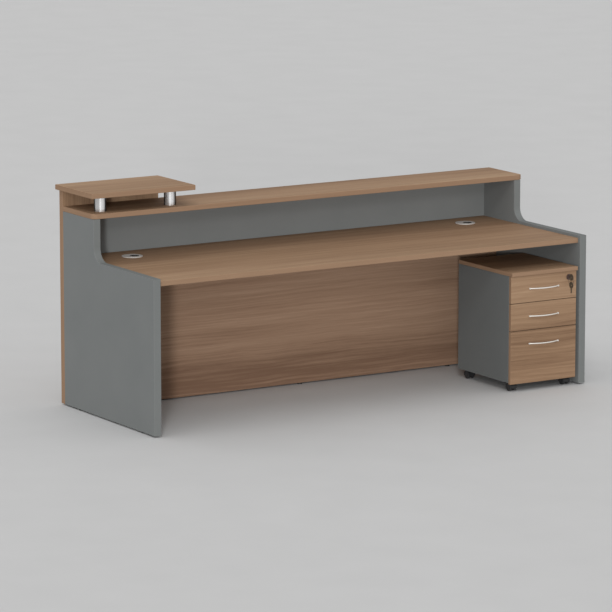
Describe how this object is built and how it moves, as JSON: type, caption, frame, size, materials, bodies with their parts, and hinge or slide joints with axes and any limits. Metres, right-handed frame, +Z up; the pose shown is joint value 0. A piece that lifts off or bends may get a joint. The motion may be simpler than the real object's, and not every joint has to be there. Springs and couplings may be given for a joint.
{
  "type": "office desk",
  "caption": "Reception desk with grey end panels, walnut worktop, counter shelf, raised top on chrome posts, cable grommets and a wheeled drawer pedestal.",
  "frame": {"origin": "middle of the whole set's outline on the floor: desk, pushed-in pedestal and its key", "axes": "+X along the desk from its raised end to its pedestal end, +Y from the sitter to the visitor, +Z up"},
  "size_m": [2.537, 0.975, 1.1],
  "materials": {
    "walnut_laminate": "satin walnut melamine",
    "grey_laminate": "matt grey melamine",
    "drawer_board": "pale grey melamine",
    "chrome": "polished",
    "satin_nickel": "satin",
    "zinc_steel": "zinc plated",
    "silver_plastic": "satin silver",
    "black_plastic": "moulded",
    "castor_tread": "moulded",
    "beech": "plain",
    "lock_metal": "black nickel",
    "key_metal": "dark"
  },
  "bodies": {
    "desk": {"left_end_panel": "grey_laminate", "right_end_panel": "grey_laminate", "worktop": "walnut_laminate", "modesty_panel": "walnut_laminate", "upper_back_panel": "grey_laminate", "counter_shelf": "walnut_laminate", "tall_front_panel": "walnut_laminate", "front_panel": "walnut_laminate", "raised_top": "walnut_laminate", "raised_posts": "chrome", "post_fixings": "zinc_steel", "cam_fittings": "zinc_steel", "desk_dowels": "beech", "grommet_sleeves": "silver_plastic", "foot_sockets": "zinc_steel"},
    "grommet_cap_left": {"grommet_cap_left": "silver_plastic"},
    "grommet_cap_right": {"grommet_cap_right": "silver_plastic"},
    "pedestal": {"pedestal_left_side": "grey_laminate", "pedestal_right_side": "grey_laminate", "pedestal_base": "grey_laminate", "pedestal_back": "grey_laminate", "pedestal_top": "walnut_laminate", "pedestal_dowels": "beech", "cabinet_runners": "zinc_steel", "lock_strike": "zinc_steel", "castor_plates": "zinc_steel"},
    "foot_left_front": {"foot_left_front": "black_plastic"},
    "foot_left_rear": {"foot_left_rear": "black_plastic"},
    "foot_right_front": {"foot_right_front": "black_plastic"},
    "foot_right_rear": {"foot_right_rear": "black_plastic"},
    "foot_modesty_left": {"foot_modesty_left": "black_plastic"},
    "foot_modesty_middle": {"foot_modesty_middle": "black_plastic"},
    "foot_modesty_right": {"foot_modesty_right": "black_plastic"},
    "top_drawer": {"top_drawer_front": "walnut_laminate", "top_drawer_box": "drawer_board", "top_drawer_runners": "zinc_steel", "top_drawer_handle": "satin_nickel", "top_drawer_handle_screws": "zinc_steel", "lock_case": "lock_metal"},
    "middle_drawer": {"middle_drawer_front": "walnut_laminate", "middle_drawer_box": "drawer_board", "middle_drawer_runners": "zinc_steel", "middle_drawer_handle": "satin_nickel", "middle_drawer_handle_screws": "zinc_steel"},
    "bottom_drawer": {"bottom_drawer_front": "walnut_laminate", "bottom_drawer_box": "drawer_board", "bottom_drawer_runners": "zinc_steel", "bottom_drawer_handle": "satin_nickel", "bottom_drawer_handle_screws": "zinc_steel"},
    "lock_plug": {"lock_plug": "lock_metal", "key": "key_metal"},
    "spare_key": {"spare_key_on_ring": "key_metal"},
    "castor_front_left": {"castor_hood_front_left": "black_plastic"},
    "wheels_front_left": {"castor_wheels_front_left": "castor_tread"},
    "castor_front_right": {"castor_hood_front_right": "black_plastic"},
    "wheels_front_right": {"castor_wheels_front_right": "castor_tread"},
    "castor_rear_left": {"castor_hood_rear_left": "black_plastic"},
    "wheels_rear_left": {"castor_wheels_rear_left": "castor_tread"},
    "castor_rear_right": {"castor_hood_rear_right": "black_plastic"},
    "wheels_rear_right": {"castor_wheels_rear_right": "castor_tread"}
  },
  "joints": [
    {"name": "pedestal_roll", "type": "slide", "parent": "desk", "child": "pedestal", "axis": [0, -1, 0], "range_m": [-0.25, 0.7]},
    {"name": "top_drawer_slide", "type": "slide", "parent": "pedestal", "child": "top_drawer", "axis": [0, -1, 0], "range_m": [0, 0.3]},
    {"name": "middle_drawer_slide", "type": "slide", "parent": "pedestal", "child": "middle_drawer", "axis": [0, -1, 0], "range_m": [0, 0.3]},
    {"name": "bottom_drawer_slide", "type": "slide", "parent": "pedestal", "child": "bottom_drawer", "axis": [0, -1, 0], "range_m": [0, 0.36]},
    {"name": "lock_turn", "type": "hinge", "parent": "top_drawer", "child": "lock_plug", "pos_m": [1.1495, -0.4485, 0.559], "axis": [0, 1, 0], "range_deg": [0, 90]},
    {"name": "spare_key_hang", "type": "hinge", "parent": "lock_plug", "child": "spare_key", "pos_m": [1.1495, -0.4715, 0.5485], "axis": [0, 1, 0], "range_deg": [-90, 0]},
    {"name": "castor_swivel_front_left", "type": "hinge", "parent": "pedestal", "child": "castor_front_left", "pos_m": [0.8355, -0.3905, 0.0445], "axis": [0, 0, 1], "continuous": true},
    {"name": "castor_spin_front_left", "type": "hinge", "parent": "castor_front_left", "child": "wheels_front_left", "pos_m": [0.8355, -0.4025, 0.02], "axis": [1, 0, 0], "continuous": true},
    {"name": "castor_swivel_front_right", "type": "hinge", "parent": "pedestal", "child": "castor_front_right", "pos_m": [1.1595, -0.3905, 0.0445], "axis": [0, 0, 1], "continuous": true},
    {"name": "castor_spin_front_right", "type": "hinge", "parent": "castor_front_right", "child": "wheels_front_right", "pos_m": [1.1595, -0.4025, 0.02], "axis": [1, 0, 0], "continuous": true},
    {"name": "castor_swivel_rear_left", "type": "hinge", "parent": "pedestal", "child": "castor_rear_left", "pos_m": [0.8355, -0.0165, 0.0445], "axis": [0, 0, 1], "continuous": true},
    {"name": "castor_spin_rear_left", "type": "hinge", "parent": "castor_rear_left", "child": "wheels_rear_left", "pos_m": [0.8355, -0.0285, 0.02], "axis": [1, 0, 0], "continuous": true},
    {"name": "castor_swivel_rear_right", "type": "hinge", "parent": "pedestal", "child": "castor_rear_right", "pos_m": [1.1595, -0.0165, 0.0445], "axis": [0, 0, 1], "continuous": true},
    {"name": "castor_spin_rear_right", "type": "hinge", "parent": "castor_rear_right", "child": "wheels_rear_right", "pos_m": [1.1595, -0.0285, 0.02], "axis": [1, 0, 0], "continuous": true},
    {"name": "grommet_cap_turn_left", "type": "hinge", "parent": "desk", "child": "grommet_cap_left", "pos_m": [-0.9715, 0.2505, 0.75], "axis": [0, 0, 1], "continuous": true},
    {"name": "grommet_cap_turn_right", "type": "hinge", "parent": "desk", "child": "grommet_cap_right", "pos_m": [0.9885, 0.2505, 0.75], "axis": [0, 0, 1], "continuous": true},
    {"name": "foot_left_front_turn", "type": "hinge", "parent": "desk", "child": "foot_left_front", "pos_m": [-1.2295, -0.3175, 0.007], "axis": [0, 0, 1], "continuous": true},
    {"name": "foot_left_rear_turn", "type": "hinge", "parent": "desk", "child": "foot_left_rear", "pos_m": [-1.2295, 0.3105, 0.007], "axis": [0, 0, 1], "continuous": true},
    {"name": "foot_right_front_turn", "type": "hinge", "parent": "desk", "child": "foot_right_front", "pos_m": [1.2325, -0.3175, 0.007], "axis": [0, 0, 1], "continuous": true},
    {"name": "foot_right_rear_turn", "type": "hinge", "parent": "desk", "child": "foot_right_rear", "pos_m": [1.2325, 0.3105, 0.007], "axis": [0, 0, 1], "continuous": true},
    {"name": "foot_modesty_left_turn", "type": "hinge", "parent": "desk", "child": "foot_modesty_left", "pos_m": [-0.8725, 0.306, 0.007], "axis": [0, 0, 1], "continuous": true},
    {"name": "foot_modesty_middle_turn", "type": "hinge", "parent": "desk", "child": "foot_modesty_middle", "pos_m": [0.0235, 0.306, 0.007], "axis": [0, 0, 1], "continuous": true},
    {"name": "foot_modesty_right_turn", "type": "hinge", "parent": "desk", "child": "foot_modesty_right", "pos_m": [0.9195, 0.306, 0.007], "axis": [0, 0, 1], "continuous": true}
  ],
  "couplings": [
    {"joint": "spare_key_hang", "follows": "lock_turn", "ratio": -1}
  ]
}
